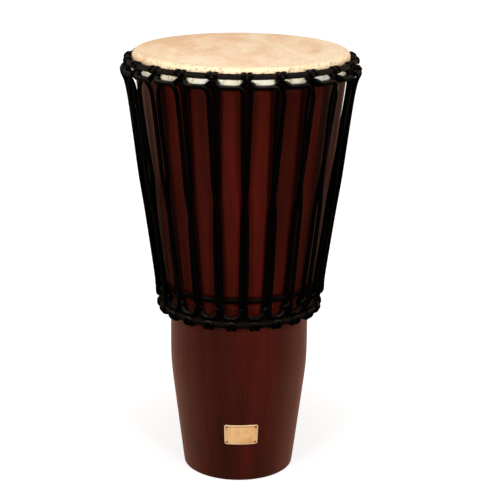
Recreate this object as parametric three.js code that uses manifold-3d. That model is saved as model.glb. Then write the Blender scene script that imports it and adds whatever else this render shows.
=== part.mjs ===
// Ashiko drum: a tapered wooden shell with a skin head, tuned by ropes.
// Millimetres, +Z up. The origin is the centre of the foot rim, on the floor.
// Angles run round the drum from its front (-Y) towards +X.
import * as THREE from 'three';
import { mergeVertices } from 'three/addons/utils/BufferGeometryUtils.js';
import Module from 'manifold-3d';

// Wooden shell
const drumHeight = 610;
const headDiameter = 298;
const footDiameter = 159;
const waistDiameter = 197.6;
const wall = 12;
const footTaperTop = 136;
const waistBottom = 182;
const waistTop = 242;
const bowlStart = 262;
const bowlFlare = 4.5;
const bowlBulge = 5;
const footEdgeRound = 2;
const bearingEdgeRound = 5;
const bearingFlat = 2.5;
const innerBevel = 4.5;

// Skin head, folded round a steel flesh ring
const skinThickness = 1.2;
const skinClearance = 0.3;
const fleshRodDiameter = 3.2;
const fleshClearance = 0.2;
const foldTail = 1.7;
const passClearance = 0.45;

// Steel rings in a cloth wrap
const ringCoreDiameter = 3;
const wrapClearance = 0.25;
const wrapThickness = 0.95;
const wrapSeam = 0.6;
const crownRingDrop = 7.5;
const bottomRingHeight = 249;

// Rope rig
const ropeDiameter = 4.8;
const ropeClearance = 0.35;
const strandClearance = 0.45;
const hitchCount = 22;
const firstHitchAngle = THREE.MathUtils.degToRad(2.8);
const hitchStrandGap = 3;
const crossbarOverhang = 2.3;
const hitchFootSpread = 10.2;
const laceTopSpread = 6.4;
const loopApexRise = 20;
const loopApexHalf = 4.8;
const loopStandoff = 2.5;
const tieRopeRise = 14;
const laceDrop = 9;
const laceTuck = 0.5;
const crossingSetback = 1;
const sideSlack = 0.1;
const apexSlack = 0.4;
const waistClearance = 0.58;
const waistRise = THREE.MathUtils.degToRad(40);
const barFall = THREE.MathUtils.degToRad(33);
const laceBendHalf = THREE.MathUtils.degToRad(27.5);
const crossingRise = THREE.MathUtils.degToRad(160);
const tieBendHalf = THREE.MathUtils.degToRad(25);
const knotDiameter = 6.4;
const knotClearance = 0.3;
const knotLift = 0.4;
const crownKnotStandoff = 1.5;
const laceKnotStandoff = 1;

// Name plate and its pins
const plateWidth = 50;
const plateHeight = 32;
const plateThickness = 0.9;
const plateCorner = 3;
const plateClearance = 0.3;
const plateCentreHeight = 73.7;
const plateAngle = THREE.MathUtils.degToRad(2.7);
const pinInset = 3.4;
const pinShankDiameter = 1.6;
const pinShankLength = 7;
const pinHeadDiameter = 3.2;
const pinHeadHeight = 0.8;
const pinClearance = 0.25;

// Facets: two to each hitch, so that a facet corner stands at every hitch
const drumFacets = 2 * hitchCount;
const ropeSides = 5;
const ringSides = 6;
const pinSides = 8;
const knotSides = 8;
const knotBands = 6;
const roundSteps = 3;
const waistSteps = 2;
const bowlSteps = 4;
const foldSteps = 4;
const mergeReach = 1e-4;

// Sizes that follow from the ones above
const skinRadius = headDiameter / 2;
const bearingRadius = skinRadius - skinThickness - skinClearance;
const bearingHeight = drumHeight - skinThickness - skinClearance;
const roundCentreRadius = bearingRadius - bearingEdgeRound;
const roundCentreHeight = bearingHeight - bearingEdgeRound;
const ropeRadius = ropeDiameter / 2;
const strandPitch = ropeDiameter + strandClearance;
const wrapBore = ringCoreDiameter / 2 + wrapClearance;
const wrapRadius = wrapBore + wrapThickness;
const ropeOffRing = wrapRadius + ropeClearance + ropeRadius;
const hitchPitch = (2 * Math.PI) / hitchCount;
const knotRadius = knotDiameter / 2;

const wood = new THREE.MeshStandardMaterial({ color: 0x431712, roughness: 0.3, metalness: 0 });
const skin = new THREE.MeshStandardMaterial({ color: 0xf0d6ac, roughness: 0.7, metalness: 0 });
const steel = new THREE.MeshStandardMaterial({ color: 0x8c8f92, roughness: 0.35, metalness: 1 });
const cloth = new THREE.MeshStandardMaterial({ color: 0x281c1c, roughness: 0.8, metalness: 0 });
const rope = new THREE.MeshStandardMaterial({ color: 0x0c0c0c, roughness: 0.55, metalness: 0 });
const copper = new THREE.MeshStandardMaterial({ color: 0xe1a564, roughness: 0.3, metalness: 1 });

const wasm = await Module();
wasm.setup();

const drum = new THREE.Group();

function addPiece(name, geometry, material) {
  const mesh = new THREE.Mesh(geometry, material);
  mesh.name = name;
  drum.add(mesh);
  return mesh;
}

// A point from its radius, its angle round the drum and its height.
function polar(radius, angle, height) {
  return new THREE.Vector3(radius * Math.sin(angle), -radius * Math.cos(angle), height);
}

// A piece turned about the drum's axis, from a profile of radius and height.
function turned(profile) {
  const geometry = new THREE.LatheGeometry(profile, drumFacets, firstHitchAngle);
  return geometry.rotateX(Math.PI / 2);
}

// Points of an arc in the profile plane, angles in degrees from outward towards up.
function profileArc(radius, height, arcRadius, startDegrees, endDegrees, steps) {
  const points = [];
  for (let step = 0; step <= steps; step += 1) {
    const angle = THREE.MathUtils.degToRad(THREE.MathUtils.lerp(startDegrees, endDegrees, step / steps));
    const reach = new THREE.Vector2(Math.cos(angle), Math.sin(angle)).multiplyScalar(arcRadius);
    points.push(new THREE.Vector2(radius, height).add(reach));
  }
  return points;
}

function profileCurve(start, control, end, steps) {
  return new THREE.QuadraticBezierCurve(start, control, end).getPoints(steps);
}

function toSolid(geometry) {
  const bare = new THREE.BufferGeometry();
  bare.setAttribute('position', geometry.getAttribute('position'));
  bare.setIndex(geometry.getIndex());
  const merged = mergeVertices(bare, mergeReach);
  const vertProperties = new Float32Array(merged.getAttribute('position').array);
  const triVerts = new Uint32Array(merged.getIndex().array);
  return new wasm.Manifold(new wasm.Mesh({ numProp: 3, vertProperties, triVerts }));
}

function fromSolid(solid) {
  const mesh = solid.getMesh();
  const geometry = new THREE.BufferGeometry();
  geometry.setAttribute('position', new THREE.BufferAttribute(mesh.vertProperties, 3));
  geometry.setIndex(new THREE.BufferAttribute(mesh.triVerts, 1));
  return geometry;
}

// Shell outline. The foot widens to a straight waist, and the bowl flares from there to the
// bearing edge with a slight belly.
const footRadius = footDiameter / 2;
const waistRadius = waistDiameter / 2;
const taperShare = footTaperTop / ((footTaperTop + waistBottom) / 2);
const taperTopRadius = THREE.MathUtils.lerp(footRadius, waistRadius, taperShare);
const footEdge = profileArc(footRadius - footEdgeRound, footEdgeRound, footEdgeRound, -90, 0, 1);
const footShoulder = profileCurve(
  new THREE.Vector2(taperTopRadius, footTaperTop),
  new THREE.Vector2(waistRadius, (footTaperTop + waistBottom) / 2),
  new THREE.Vector2(waistRadius, waistBottom),
  roundSteps,
);
const bowlFoot = new THREE.Vector2(waistRadius + bowlFlare, bowlStart);
const waistCurve = profileCurve(
  new THREE.Vector2(waistRadius, waistTop),
  new THREE.Vector2(waistRadius, (waistTop + bowlStart) / 2),
  bowlFoot,
  waistSteps,
);
const bowlMiddle = new THREE.Vector2(
  (bowlFoot.x + bearingRadius) / 2 + bowlBulge,
  (bowlFoot.y + roundCentreHeight) / 2,
);
const bowlRim = new THREE.Vector2(bearingRadius, roundCentreHeight);
const bowlCurve = profileCurve(bowlFoot, bowlMiddle, bowlRim, bowlSteps);
const bearingEdge = profileArc(roundCentreRadius, roundCentreHeight, bearingEdgeRound, 0, 90, roundSteps);
const shellOutside = [
  ...footEdge,
  ...footShoulder,
  ...waistCurve,
  ...bowlCurve.slice(1),
  ...bearingEdge.slice(1),
];
const boreTopHeight = bearingHeight - innerBevel;

// The shell's outer radius at a height, along its outline.
function shellRadiusAt(height) {
  for (let index = 1; index < shellOutside.length; index += 1) {
    const above = shellOutside[index];
    if (above.y >= height) {
      const below = shellOutside[index - 1];
      return THREE.MathUtils.mapLinear(height, below.y, above.y, below.x, above.x);
    }
  }
  return bearingRadius;
}

const bore = [boreTopHeight, bowlMiddle.y, bowlStart, waistBottom, 0].map(
  (height) => new THREE.Vector2(shellRadiusAt(Math.max(height, footEdgeRound)) - wall, height),
);
const shellProfile = [
  ...shellOutside,
  new THREE.Vector2(roundCentreRadius - bearingFlat, bearingHeight),
  ...bore,
  shellOutside[0].clone(),
];

// Name plate: a bent copper sheet that follows the foot, on four dome-headed pins.
const footSlope = Math.atan2(taperTopRadius - footRadius, footTaperTop - footEdgeRound);
const plateBackRadius = shellRadiusAt(plateCentreHeight) + plateClearance / Math.cos(footSlope);
const plateFrontRadius = plateBackRadius + plateThickness / Math.cos(footSlope);

function plateSurfaceRadius(centreRadius, height) {
  return centreRadius + (height - plateCentreHeight) * Math.tan(footSlope);
}

function namePlate() {
  const across = [];
  const flatHalf = plateWidth / 2 - plateCorner;
  for (let step = 0; step <= roundSteps; step += 1) {
    const angle = (Math.PI / 2) * (step / roundSteps);
    const half = plateHeight / 2 - plateCorner * (1 - Math.sin(angle));
    across.push([flatHalf + plateCorner * Math.cos(angle), half]);
  }
  const right = across.reverse();
  const left = right.map(([reach, half]) => [-reach, half]).reverse();
  const middle = [-flatHalf / 2, 0, flatHalf / 2].map((reach) => [reach, plateHeight / 2]);
  const columns = [...left, ...middle, ...right];
  const positions = [];
  for (const [reach, half] of columns) {
    const angle = plateAngle + reach / plateFrontRadius;
    for (const [radius, height] of [
      [plateFrontRadius, plateCentreHeight + half],
      [plateFrontRadius, plateCentreHeight - half],
      [plateBackRadius, plateCentreHeight - half],
      [plateBackRadius, plateCentreHeight + half],
    ]) {
      positions.push(...polar(plateSurfaceRadius(radius, height), angle, height).toArray());
    }
  }
  const index = [0, 3, 2, 0, 2, 1];
  for (let column = 0; column < columns.length - 1; column += 1) {
    for (let corner = 0; corner < 4; corner += 1) {
      const here = 4 * column + corner;
      const next = 4 * column + ((corner + 1) % 4);
      index.push(here, next, next + 4, here, next + 4, here + 4);
    }
  }
  const last = 4 * (columns.length - 1);
  index.push(last, last + 1, last + 2, last, last + 2, last + 3);
  const geometry = new THREE.BufferGeometry();
  geometry.setAttribute('position', new THREE.Float32BufferAttribute(positions, 3));
  geometry.setIndex(index);
  return geometry;
}

// Where each pin stands on the plate: its seat, and its axis square to the foot.
const pinSeats = [];
for (const side of [-1, 1]) {
  for (const level of [-1, 1]) {
    const height = plateCentreHeight + level * (plateHeight / 2 - pinInset);
    const angle = plateAngle + (side * (plateWidth / 2 - pinInset)) / plateFrontRadius;
    const axis = polar(Math.cos(footSlope), angle, -Math.sin(footSlope));
    const seat = polar(plateSurfaceRadius(plateFrontRadius, height), angle, height);
    pinSeats.push({ seat, axis });
  }
}

function pinHole({ seat, axis }) {
  const depth = plateThickness + plateClearance + pinShankLength + pinClearance;
  const radius = pinShankDiameter / 2 + pinClearance;
  const hole = new THREE.CylinderGeometry(radius, radius, 2 * depth, pinSides);
  hole.applyQuaternion(new THREE.Quaternion().setFromUnitVectors(new THREE.Vector3(0, 1, 0), axis));
  return hole.translate(seat.x, seat.y, seat.z);
}

function drillForPins(geometry) {
  const drilled = (solid, pin) => solid.subtract(toSolid(pinHole(pin)));
  return fromSolid(pinSeats.reduce(drilled, toSolid(geometry)));
}

function platePin() {
  const headRadius = pinHeadDiameter / 2;
  const shankRadius = pinShankDiameter / 2;
  const shankEnd = -(plateThickness + plateClearance + pinShankLength);
  const domeRadius = (headRadius ** 2 + pinHeadHeight ** 2) / (2 * pinHeadHeight);
  const domeFall = domeRadius - Math.sqrt(domeRadius ** 2 - headRadius ** 2 / 4);
  const profile = [
    new THREE.Vector2(0, shankEnd),
    new THREE.Vector2(shankRadius, shankEnd),
    new THREE.Vector2(shankRadius, 0),
    new THREE.Vector2(headRadius, 0),
    new THREE.Vector2(headRadius / 2, pinHeadHeight - domeFall),
    new THREE.Vector2(0, pinHeadHeight),
  ];
  return new THREE.LatheGeometry(profile, pinSides);
}

addPiece('shell', drillForPins(turned(shellProfile)), wood);
addPiece('name_plate', drillForPins(namePlate()), copper);
pinSeats.forEach(({ seat, axis }, index) => {
  const pin = addPiece(`plate_pin_${index + 1}`, platePin(), copper);
  pin.quaternion.setFromUnitVectors(new THREE.Vector3(0, 1, 0), axis);
  pin.position.copy(seat).addScaledVector(axis, pinClearance);
});

// Places of the rings and the rope layers in the profile plane. A strand of the hitches passes
// inside the crown ring, between it and the skin, and again between it and the flesh ring.
const crownRing = new THREE.Vector2(
  skinRadius + ropeClearance + ropeRadius + ropeOffRing,
  drumHeight - crownRingDrop,
);
const foldRadius = fleshRodDiameter / 2 + fleshClearance + skinThickness;
const ropeOffFold = foldRadius + ropeClearance + ropeRadius;
const fleshRadius = skinRadius + fleshClearance + fleshRodDiameter / 2;
const fleshReach = ropeOffRing + ropeOffFold + passClearance;
const fleshRing = new THREE.Vector2(
  fleshRadius,
  crownRing.y - Math.sqrt(fleshReach ** 2 - (crownRing.x - fleshRadius) ** 2),
);
const bottomSeatRadius = shellRadiusAt(bottomRingHeight + ropeOffRing);
const bottomRing = new THREE.Vector2(
  bottomSeatRadius + ropeClearance + ropeRadius + ropeOffRing,
  bottomRingHeight,
);

// The cord bar between two hitches hangs below and outside the folded skin, with room for the
// lacing to pass over it.
const barReach = ropeOffFold + strandPitch + passClearance;
const cordBar = new THREE.Vector2(
  fleshRing.x + barReach * Math.cos(barFall),
  fleshRing.y - barReach * Math.sin(barFall),
);

// Skin head: flat on the bearing edge, down outside the shell, under the flesh ring and up again.
const skinInside = bearingEdgeRound + skinClearance;
const skinOutside = skinInside + skinThickness;
const foldBore = foldRadius - skinThickness;
const headSkinProfile = [
  new THREE.Vector2(0, drumHeight - skinThickness),
  ...profileArc(roundCentreRadius, roundCentreHeight, skinInside, 90, 0, roundSteps),
  ...profileArc(fleshRing.x, fleshRing.y, foldRadius, -180, 0, foldSteps),
  new THREE.Vector2(fleshRing.x + foldRadius, fleshRing.y + foldTail),
  new THREE.Vector2(fleshRing.x + foldBore, fleshRing.y + foldTail),
  ...profileArc(fleshRing.x, fleshRing.y, foldBore, 0, -180, roundSteps),
  ...profileArc(roundCentreRadius, roundCentreHeight, skinOutside, 0, 90, roundSteps),
  new THREE.Vector2(0, drumHeight),
];
addPiece('head_skin', turned(headSkinProfile), skin);

function rodProfile(centre, radius, sides) {
  return profileArc(centre.x, centre.y, radius, 0, 360, sides);
}

addPiece('flesh_ring', turned(rodProfile(fleshRing, fleshRodDiameter / 2, ringSides)), steel);

// Cloth wrap round a ring's steel core, with its lapped seam left open on the inner side.
function wrapProfile(centre) {
  const seamHalf = THREE.MathUtils.radToDeg(wrapSeam / 2 / wrapRadius);
  const outside = profileArc(centre.x, centre.y, wrapRadius, -180 + seamHalf, 180 - seamHalf, ringSides);
  const inside = profileArc(centre.x, centre.y, wrapBore, 180 - seamHalf, -180 + seamHalf, ringSides);
  return [...outside, ...inside, outside[0].clone()];
}

for (const [name, centre] of [
  ['crown_ring', crownRing],
  ['bottom_ring', bottomRing],
]) {
  const core = profileArc(centre.x, centre.y, ringCoreDiameter / 2, -180, 180, ringSides);
  addPiece(name, turned(core), steel);
  addPiece(`${name}_wrap`, turned(wrapProfile(centre)), cloth);
}

// A rope as one closed tube along a run of points, mitred at each of them.
function ropeTube(points) {
  const direction = (from, to) => to.clone().sub(from).normalize();
  const start = direction(points[0], points[1]);
  const side = new THREE.Vector3(0, 0, 1).cross(start).normalize();
  const top = start.clone().cross(side);
  let ring = [];
  for (let corner = 0; corner < ropeSides; corner += 1) {
    const angle = (2 * Math.PI * corner) / ropeSides;
    const spoke = side.clone().multiplyScalar(Math.cos(angle)).addScaledVector(top, Math.sin(angle));
    ring.push(points[0].clone().addScaledVector(spoke, ropeRadius));
  }
  const rings = [ring];
  for (let step = 1; step < points.length; step += 1) {
    const along = direction(points[step - 1], points[step]);
    const onward = step < points.length - 1 ? direction(points[step], points[step + 1]) : along;
    const mitre = along.clone().add(onward).normalize();
    ring = ring.map((corner) => {
      const reach = mitre.dot(points[step].clone().sub(corner)) / mitre.dot(along);
      return corner.clone().addScaledVector(along, reach);
    });
    rings.push(ring);
  }
  const positions = [];
  rings.flat().forEach((corner) => positions.push(...corner.toArray()));
  const index = [];
  for (let step = 0; step < rings.length - 1; step += 1) {
    for (let corner = 0; corner < ropeSides; corner += 1) {
      const here = step * ropeSides + corner;
      const next = step * ropeSides + ((corner + 1) % ropeSides);
      index.push(here, next, next + ropeSides, here, next + ropeSides, here + ropeSides);
    }
  }
  const last = (rings.length - 1) * ropeSides;
  for (let corner = 1; corner < ropeSides - 1; corner += 1) {
    index.push(0, corner + 1, corner);
    index.push(last, last + corner, last + corner + 1);
  }
  const geometry = new THREE.BufferGeometry();
  geometry.setAttribute('position', new THREE.Float32BufferAttribute(positions, 3));
  geometry.setIndex(index);
  return geometry;
}

// Least gap of a rope to itself, on points along it that lie three diameters or more apart.
function leastSelfGap(points) {
  const spacing = ropeDiameter / 3;
  const samples = [];
  let travelled = 0;
  for (let step = 1; step < points.length; step += 1) {
    const length = points[step].distanceTo(points[step - 1]);
    const count = Math.ceil(length / spacing);
    for (let part = 0; part < count; part += 1) {
      const share = part / count;
      const place = points[step - 1].clone().lerp(points[step], share);
      samples.push({ place, at: travelled + share * length });
    }
    travelled += length;
  }
  let least = Infinity;
  for (let first = 0; first < samples.length; first += 1) {
    for (let second = first + 1; second < samples.length; second += 1) {
      if (samples[second].at - samples[first].at > 3 * ropeDiameter) {
        least = Math.min(least, samples[first].place.distanceToSquared(samples[second].place));
      }
    }
  }
  return Math.sqrt(least) - ropeDiameter;
}

function addRope(name, points) {
  addPiece(name, ropeTube(points), rope);
  console.log(`${name}: least gap to itself ${leastSelfGap(points).toFixed(2)} mm`);
}

// A knot that closes a rope, and the point where a strand from elsewhere runs into it.
function addKnot(name, centre) {
  const knot = addPiece(name, new THREE.SphereGeometry(knotRadius, knotSides, knotBands), rope);
  knot.position.copy(centre);
}

function knotEntry(centre, from) {
  const outward = from.clone().sub(centre).normalize();
  return centre.clone().addScaledVector(outward, knotRadius + knotClearance);
}

// Half of a cow hitch on a ring, from its foot to its crossbar, as places across the hitch,
// out from the axis and up. Heights count from the ring towards the hitch's feet.
const mitredReach = ropeOffRing / Math.cos(Math.PI / 6);
const waistHalf = strandPitch / 2 + sideSlack;
const topHalf = (ropeDiameter + hitchStrandGap) / 2;
const crossbarHalf = topHalf + crossbarOverhang;

function hitchHalf(ring, waist, foot, feetDown) {
  const onRing = (degrees, across) => {
    const angle = THREE.MathUtils.degToRad(degrees);
    const rise = mitredReach * Math.sin(angle);
    return { across, radius: ring.x + mitredReach * Math.cos(angle), height: ring.y + feetDown * rise };
  };
  return [
    { across: foot.across, radius: foot.radius, height: foot.height },
    { across: waistHalf, radius: waist.x, height: waist.y },
    onRing(210, (waistHalf + topHalf) / 2),
    onRing(150, (waistHalf + topHalf) / 2),
    onRing(90, topHalf),
    onRing(30, (topHalf + crossbarHalf) / 2),
    onRing(-30, crossbarHalf),
  ];
}

// A whole rope of hitches round a ring. It leaves one knot, makes every hitch in turn and comes
// back to the same knot.
function hitchRope(name, ring, half, angles, knot) {
  const place = ({ across, radius, height }, angle) => polar(radius, angle + across / ring.x, height);
  const mirrored = half.map((point) => ({ ...point, across: -point.across }));
  const points = [];
  for (const angle of angles) {
    points.push(...mirrored.map((point) => place(point, angle)));
    points.push(...half.map((point) => place(point, angle)).reverse());
  }
  const lastFoot = points[0];
  points.shift();
  const centre = place(knot, angles[0]);
  points.unshift(knotEntry(centre, points[0]));
  points.push(lastFoot, knotEntry(centre, lastFoot));
  addRope(name, points);
  addKnot(`${name.replace('_rope', '')}_knot`, centre);
}

// The hitch nearest the back comes first in each rope, so that the knots lie out of sight.
const backHitch = Math.round((Math.PI - firstHitchAngle) / hitchPitch);
const hitchOrder = Array.from({ length: hitchCount }, (_, turn) => backHitch + turn);
const crownAngles = hitchOrder.map((hitch) => firstHitchAngle + hitch * hitchPitch);
const bottomAngles = hitchOrder.map((hitch) => firstHitchAngle + (hitch + 0.5) * hitchPitch);

const waistReach = ropeOffFold + waistClearance;
const crownWaist = new THREE.Vector2(
  fleshRing.x + waistReach * Math.cos(waistRise),
  fleshRing.y + waistReach * Math.sin(waistRise),
);
const crownFoot = { across: hitchFootSpread, radius: cordBar.x, height: cordBar.y };
const crownKnot = {
  across: -(waistHalf + hitchFootSpread) / 2,
  radius: cordBar.x + knotRadius - ropeRadius + crownKnotStandoff,
  height: fleshRing.y + knotLift,
};
const crownHalf = hitchHalf(crownRing, crownWaist, crownFoot, 1);
hitchRope('crown_hitch_rope', crownRing, crownHalf, crownAngles, crownKnot);

// The loops of the bottom ring stand up to one apex under each pair of lacing strands. The
// lacing passes inside the apex, clear of the shell.
const apexHeight = bottomRingHeight + loopApexRise;
const apexInside = strandPitch + apexSlack;
const apexRadius = shellRadiusAt(apexHeight) + loopStandoff + ropeRadius + apexInside;
const bottomWaist = new THREE.Vector2(
  bottomRing.x - (crownRing.x - crownWaist.x),
  bottomRing.y + (crownRing.y - crownWaist.y),
);
const apexAcross = (hitchPitch * bottomRing.x) / 2 - (loopApexHalf * bottomRing.x) / apexRadius;
const bottomFoot = { across: apexAcross, radius: apexRadius, height: apexHeight };
const bottomKnot = {
  across: -(waistHalf + apexAcross) / 2,
  radius: (bottomWaist.x + apexRadius) / 2 + knotRadius,
  height: (bottomWaist.y + apexHeight) / 2,
};
const bottomHalf = hitchHalf(bottomRing, bottomWaist, bottomFoot, -1);
hitchRope('bottom_hitch_rope', bottomRing, bottomHalf, bottomAngles, bottomKnot);

// Tie rope round the foot of the bowl, above the loops and behind the lacing.
const tieRopeHeight = apexHeight + tieRopeRise;
const tieRadius = shellRadiusAt(tieRopeHeight) + ropeClearance + ropeRadius;
const tieKnotAngle = firstHitchAngle + (backHitch - 0.5) * hitchPitch;
const tieKnot = polar(tieRadius + knotRadius - ropeRadius, tieKnotAngle, tieRopeHeight);
const tiePoints = [];
for (let step = 1; step < drumFacets; step += 1) {
  tiePoints.push(polar(tieRadius, tieKnotAngle + (2 * Math.PI * step) / drumFacets, tieRopeHeight));
}
tiePoints.unshift(knotEntry(tieKnot, tiePoints[0]));
tiePoints.push(knotEntry(tieKnot, tiePoints[tiePoints.length - 1]));
addPiece('tie_rope', ropeTube(tiePoints), rope);
addKnot('tie_rope_knot', tieKnot);

// Lacing: one rope that zigzags between the crown's cord bars and the bottom loops. At each
// column it goes down outside a loop's apex, under it and up inside, then over the tie rope. At
// each bar it comes up inside, crosses over and runs along the outside to the next column. The
// two strands of a column are straight and cross on the way down, one outside the other.
const laceBend = strandPitch / Math.cos(laceBendHalf);
const laceUnder = strandPitch / Math.cos(Math.PI / 6);
const laceOverTie = strandPitch / Math.cos(tieBendHalf);
const barPitch = hitchPitch * crownRing.x;
const laceHalf = strandPitch / 2 + sideSlack;

function laceColumn(angle) {
  const place = (across, radius, height) => polar(radius, angle + across / apexRadius, height);
  return [
    place(laceHalf, apexRadius + strandPitch, apexHeight - laceUnder / 2),
    place(0, apexRadius, apexHeight - laceUnder),
    place(-laceHalf, apexRadius - apexInside, apexHeight - laceUnder / 2),
    place(-laceHalf, apexRadius - apexInside, apexHeight + laceUnder / 2),
    place(-laceHalf, tieRadius + laceOverTie, tieRopeHeight),
  ];
}

function laceBar(angle) {
  const place = (across, radius, height) => polar(radius, angle + across / crownRing.x, height);
  const crossing = (barPitch / 2 - hitchFootSpread) / 3;
  const overBar = (step) => {
    const turn = crossingRise - 2 * step * laceBendHalf;
    const across = hitchFootSpread + crossingSetback + step * crossing;
    return place(across, cordBar.x + laceBend * Math.cos(turn), cordBar.y + laceBend * Math.sin(turn));
  };
  const laceEnd = barPitch - laceTopSpread;
  return [
    place(laceTopSpread, cordBar.x - strandPitch, cordBar.y - strandPitch),
    ...[0, 1, 2, 3].map(overBar),
    place(laceEnd - ropeRadius, cordBar.x + strandPitch, cordBar.y - ropeRadius / 2),
    place(laceEnd, cordBar.x - laceTuck, cordBar.y - laceDrop),
  ];
}

const lacing = [];
for (const angle of crownAngles) {
  lacing.push(...laceBar(angle), ...laceColumn(angle + hitchPitch));
}
const laceStart = lacing.splice(0, 5);
const laceKnot = laceStart[4].clone().lerp(lacing[0], 0.5);
laceKnot.add(polar(knotRadius - ropeRadius + laceKnotStandoff, crownAngles[0] + hitchPitch / 2, 0));
lacing.push(...laceStart, knotEntry(laceKnot, laceStart[4]));
lacing.unshift(knotEntry(laceKnot, lacing[0]));
addRope('lacing_rope', lacing);
addKnot('lacing_knot', laceKnot);

export default drum;
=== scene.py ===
import math
import bmesh
import bpy
from mathutils import Matrix, Vector, noise


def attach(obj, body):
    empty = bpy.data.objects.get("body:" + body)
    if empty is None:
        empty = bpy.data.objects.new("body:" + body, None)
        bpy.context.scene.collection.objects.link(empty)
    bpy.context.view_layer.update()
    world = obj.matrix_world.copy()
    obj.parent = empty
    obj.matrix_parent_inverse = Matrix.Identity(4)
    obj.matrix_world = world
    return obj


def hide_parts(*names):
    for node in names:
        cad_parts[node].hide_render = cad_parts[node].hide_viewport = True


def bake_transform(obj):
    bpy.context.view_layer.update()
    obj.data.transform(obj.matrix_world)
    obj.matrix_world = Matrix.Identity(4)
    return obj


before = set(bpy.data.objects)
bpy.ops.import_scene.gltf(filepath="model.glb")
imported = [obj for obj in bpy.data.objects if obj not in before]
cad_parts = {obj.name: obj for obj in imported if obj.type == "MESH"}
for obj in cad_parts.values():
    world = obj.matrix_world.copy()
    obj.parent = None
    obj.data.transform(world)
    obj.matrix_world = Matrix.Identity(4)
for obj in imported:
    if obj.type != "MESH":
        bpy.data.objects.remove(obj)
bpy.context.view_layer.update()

# Studio: a white room with a pale floor, a soft lamp on each side in front, one overhead and two warm
# ones behind, and a camera two metres in front that looks down on the head. All of it is stage.
picture_pixels = 500
focal_pixels = 1554
sensor_width = 36
camera_place = Vector((0, -2.128, 0.970))
camera_tilt = math.radians(16.9)
camera_turn = math.radians(0.398)
camera_roll = math.radians(0.582)
room_light = 0.08
room_gloss = 0.04
floor_reach = 20
floor_colour = (0.28, 0.28, 0.28, 1)
near_floor = 0.12
far_floor = 1.1
floor_glow = (0.80, 1.0)
floor_gloss = (0.05, 0.35)
floor_gloss_from = 0.6
lamp_target = Vector((0, 0, 0.33))
strip_colour = (1, 0.62, 0.42)
white = (1, 1, 1, 1)


def give(node, inputs):
    """Gives a node its inputs, each a plain value or a socket."""
    for key, value in inputs.items():
        if isinstance(value, bpy.types.NodeSocket):
            node.id_data.links.new(value, node.inputs[key])
        else:
            node.inputs[key].default_value = value


def add_node(tree, kind, inputs=None, **settings):
    """A new node with its settings made and its inputs given."""
    node = tree.nodes.new(kind)
    for key, value in settings.items():
        setattr(node, key, value)
    give(node, inputs or {})
    return node


def tree_of(*values):
    """The node tree of the first socket among some values."""
    return next(value.id_data for value in values if isinstance(value, bpy.types.NodeSocket))


def work(operation, first, second=0.0, third=0.0):
    """The result of one Math node."""
    values = {0: first, 1: second, 2: third}
    return add_node(tree_of(first, second), "ShaderNodeMath", values, operation=operation).outputs[0]


def times(first, second):
    """The product of two values."""
    return work("MULTIPLY", first, second)


def between(value, low, high, start=0.0, end=1.0):
    """A value drawn from low and high to start and end, held at both ends."""
    ranges = {"Value": value, "From Min": low, "From Max": high, "To Min": start, "To Max": end}
    return add_node(value.id_data, "ShaderNodeMapRange", ranges).outputs[0]


def mixed(share, first, second, blend_type="MIX"):
    """Two colours mixed by a share from 0 to 1."""
    colours = {"Factor": share, 6: first, 7: second}
    tree = tree_of(share, first)
    return add_node(tree, "ShaderNodeMix", colours, data_type="RGBA", blend_type=blend_type).outputs[2]


def ray_strength(tree, straight, glossy, carried):
    """A strength for straight rays, one for glossy rays and one for those that carry light about."""
    rays = add_node(tree, "ShaderNodeLightPath").outputs
    direct = work("MAXIMUM", rays["Is Camera Ray"], rays["Is Transmission Ray"])
    shine = times(rays["Is Glossy Ray"], glossy)
    bright = work("MAXIMUM", times(direct, straight), shine)
    return work("MAXIMUM", bright, carried)


scene = bpy.context.scene
scene.view_settings.view_transform = "Standard"

room = bpy.data.worlds.new("white_room")
room.use_nodes = True
room_tree = room.node_tree
room_tree.nodes.clear()
room_strength = ray_strength(room_tree, 1.0, room_gloss, room_light)
backdrop = add_node(room_tree, "ShaderNodeBackground", {"Color": white, "Strength": room_strength})
add_node(room_tree, "ShaderNodeOutputWorld", {"Surface": backdrop.outputs[0]})
scene.world = room

floor_finish = bpy.data.materials.new("pale_floor")
floor_finish.use_nodes = True
floor_tree = floor_finish.node_tree
floor_tree.nodes.clear()
floor_diffuse = add_node(floor_tree, "ShaderNodeBsdfDiffuse", {"Color": floor_colour})
floor_place = add_node(floor_tree, "ShaderNodeTexCoord").outputs["Object"]
floor_way = add_node(floor_tree, "ShaderNodeVectorMath", {0: floor_place}, operation="LENGTH")
floor_share = between(floor_way.outputs["Value"], near_floor, far_floor)
floor_strength = ray_strength(
    floor_tree,
    between(floor_share, 0.0, 1.0, *floor_glow),
    between(floor_share, floor_gloss_from, 1.0, *floor_gloss),
    0.0,
)
floor_rays = add_node(floor_tree, "ShaderNodeLightPath").outputs
floor_tint = mixed(floor_rays["Is Glossy Ray"], white, (*strip_colour, 1))
floor_shine = {"Color": floor_tint, "Strength": floor_strength}
floor_light = add_node(floor_tree, "ShaderNodeEmission", floor_shine)
floor_shaders = {0: floor_diffuse.outputs[0], 1: floor_light.outputs[0]}
floor_sum = add_node(floor_tree, "ShaderNodeAddShader", floor_shaders)
add_node(floor_tree, "ShaderNodeOutputMaterial", {"Surface": floor_sum.outputs[0]})


def in_scene(name, data):
    """A new object of the scene."""
    piece = bpy.data.objects.new(name, data)
    scene.collection.objects.link(piece)
    return piece


floor_mesh = bpy.data.meshes.new("floor")
floor_signs = ((-1, -1), (1, -1), (1, 1), (-1, 1))
floor_corners = [(side * floor_reach, end * floor_reach, 0) for side, end in floor_signs]
floor_mesh.from_pydata(floor_corners, [], [(0, 1, 2, 3)])
floor_mesh.materials.append(floor_finish)
in_scene("floor", floor_mesh)


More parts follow.
